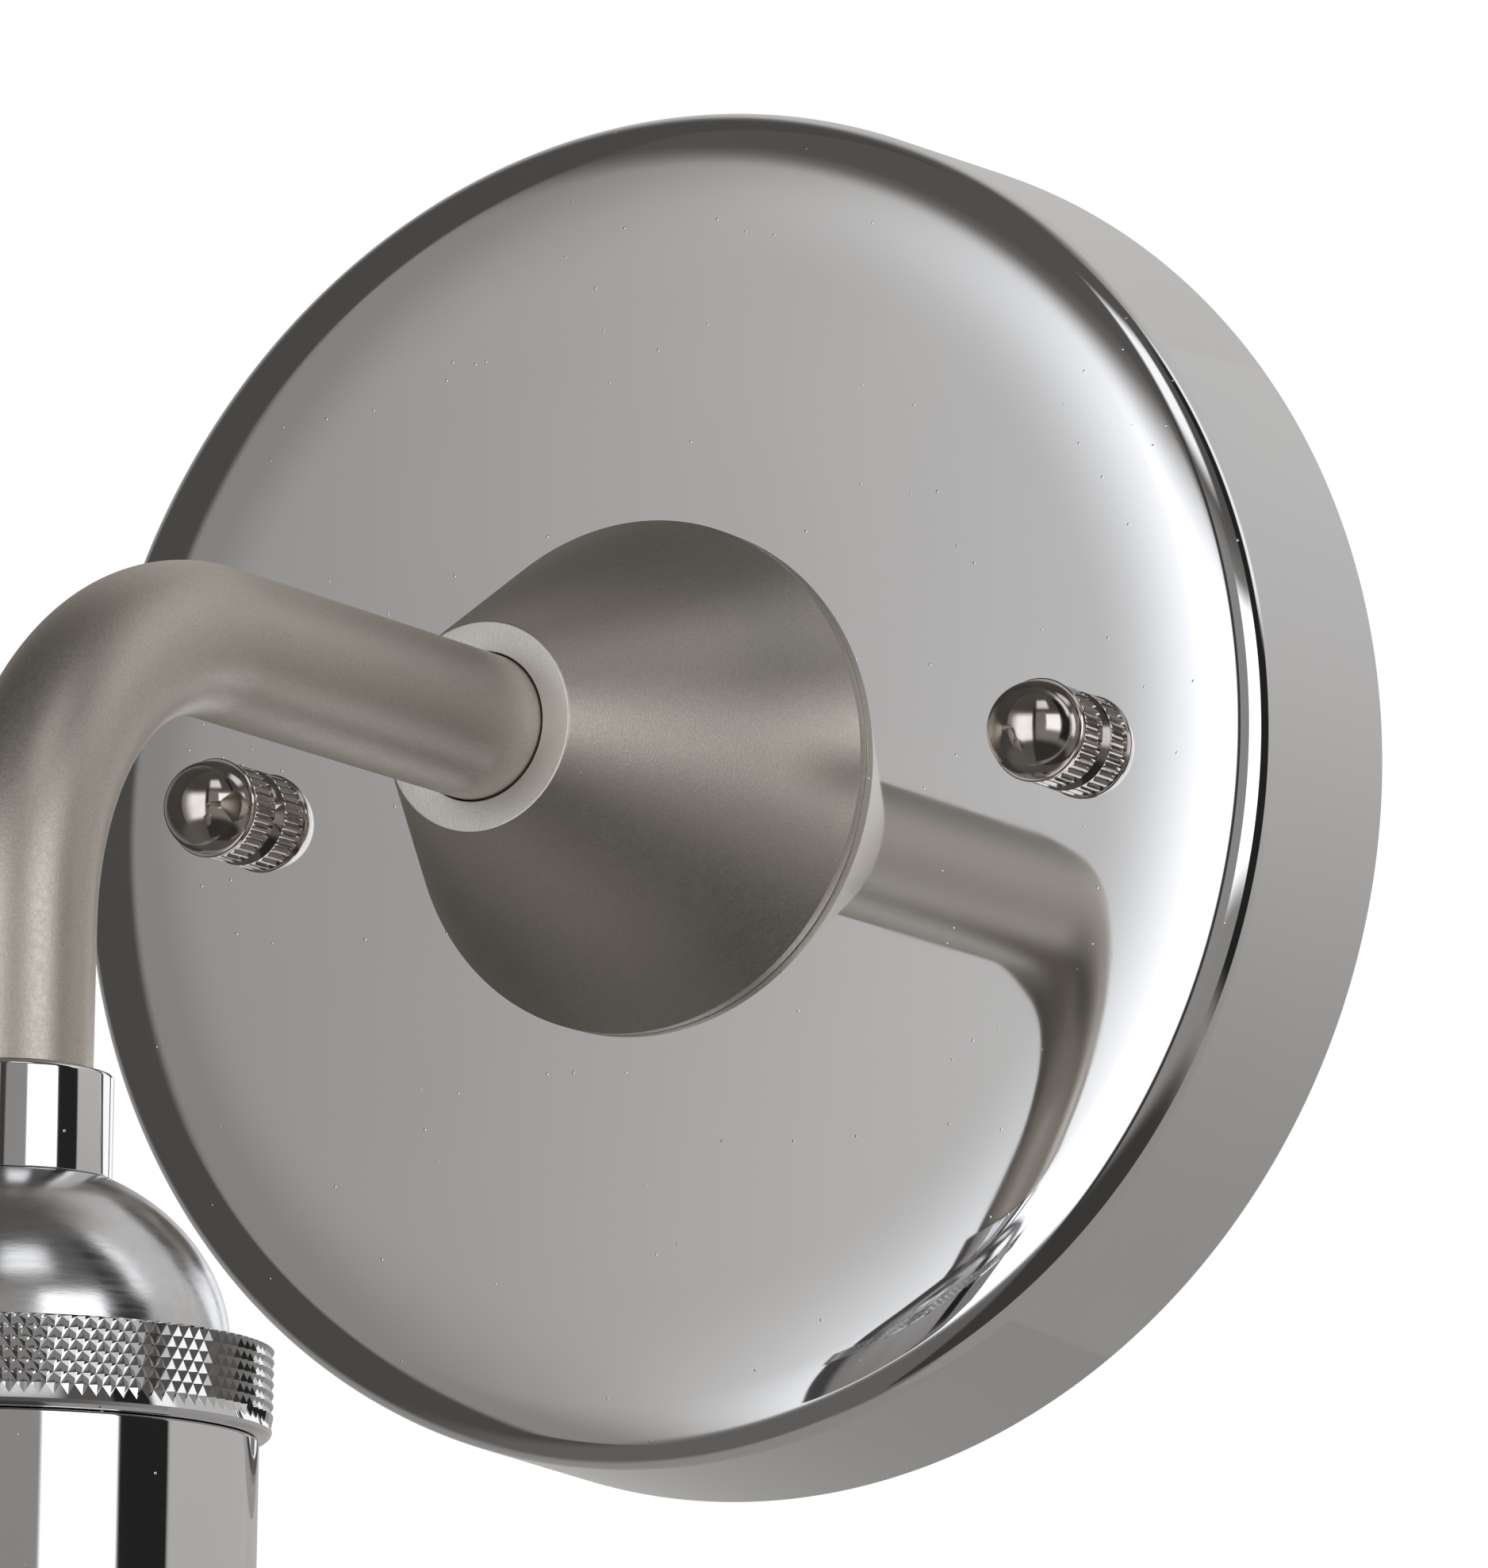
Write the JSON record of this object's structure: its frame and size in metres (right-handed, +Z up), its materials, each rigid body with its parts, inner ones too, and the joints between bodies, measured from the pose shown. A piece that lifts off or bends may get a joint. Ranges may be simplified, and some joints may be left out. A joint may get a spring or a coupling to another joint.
{
  "type": "swing arm wall sconce",
  "caption": "Wall light: a round plate with two ball nuts, a cone, and a quarter-bend arm that swings and carries a screw-base lampholder.",
  "frame": {"origin": "centre of the wall plate's back rim, on the wall", "axes": "+Z up, -Y out of the wall into the room, +X to the right as seen from the room"},
  "size_m": [0.1206, 0.1367, 0.165],
  "materials": {
    "chrome": "polished",
    "satin_nickel": "satin, fine blasted grain",
    "dark_nickel": "polished dark nickel",
    "zinc_steel": "zinc plated",
    "shell_nickel": "nickel plated",
    "brass": "plain turned",
    "green_paint": "green",
    "fibre": "pressed fibre",
    "card": "plain card",
    "porcelain": "glazed",
    "nylon": "moulded"
  },
  "bodies": {
    "wall_base": {"backplate": "chrome", "mounting_crossbar": "zinc_steel", "ground_screw": "green_paint", "fixing_stud_left": "zinc_steel", "fixing_stud_right": "zinc_steel", "stud_nut_left": "zinc_steel", "stud_nut_right": "zinc_steel", "cone_cover": "satin_nickel", "cone_floor": "zinc_steel", "stop_pin_left": "zinc_steel", "stop_pin_right": "zinc_steel", "friction_washer": "fibre"},
    "ball_nut_left": {"ball_nut_left": "dark_nickel"},
    "ball_nut_right": {"ball_nut_right": "dark_nickel"},
    "arm": {"wave_washer": "zinc_steel", "lock_nut": "brass", "arm_nipple": "zinc_steel", "wire_bushing": "nylon", "stop_collar": "brass", "arm_tube": "satin_nickel", "socket_nipple": "zinc_steel", "socket_collar": "chrome", "socket_cap": "chrome", "cap_nut": "brass", "socket_yoke": "zinc_steel", "insulator": "porcelain", "yoke_screw_left": "zinc_steel", "yoke_screw_right": "zinc_steel", "live_terminal_screw": "brass", "neutral_terminal_screw": "zinc_steel", "screw_shell": "shell_nickel", "centre_contact": "brass", "insulating_liner": "card", "socket_cup": "chrome"},
    "knurled_ring": {"knurled_ring": "chrome"}
  },
  "joints": [
    {"name": "arm_swing", "type": "hinge", "parent": "wall_base", "child": "arm", "pos_m": [0, -0.05, 0], "axis": [0, -1, 0], "range_deg": [-90, 90]},
    {"name": "left_nut_turn", "type": "hinge", "parent": "wall_base", "child": "ball_nut_left", "pos_m": [-0.04127, -0.0267, 0], "axis": [0, -1, 0], "continuous": true},
    {"name": "right_nut_turn", "type": "hinge", "parent": "wall_base", "child": "ball_nut_right", "pos_m": [0.04127, -0.0267, 0], "axis": [0, -1, 0], "continuous": true},
    {"name": "ring_turn", "type": "hinge", "parent": "arm", "child": "knurled_ring", "pos_m": [0, -0.116, -0.0637], "axis": [0, 0, 1], "continuous": true}
  ]
}
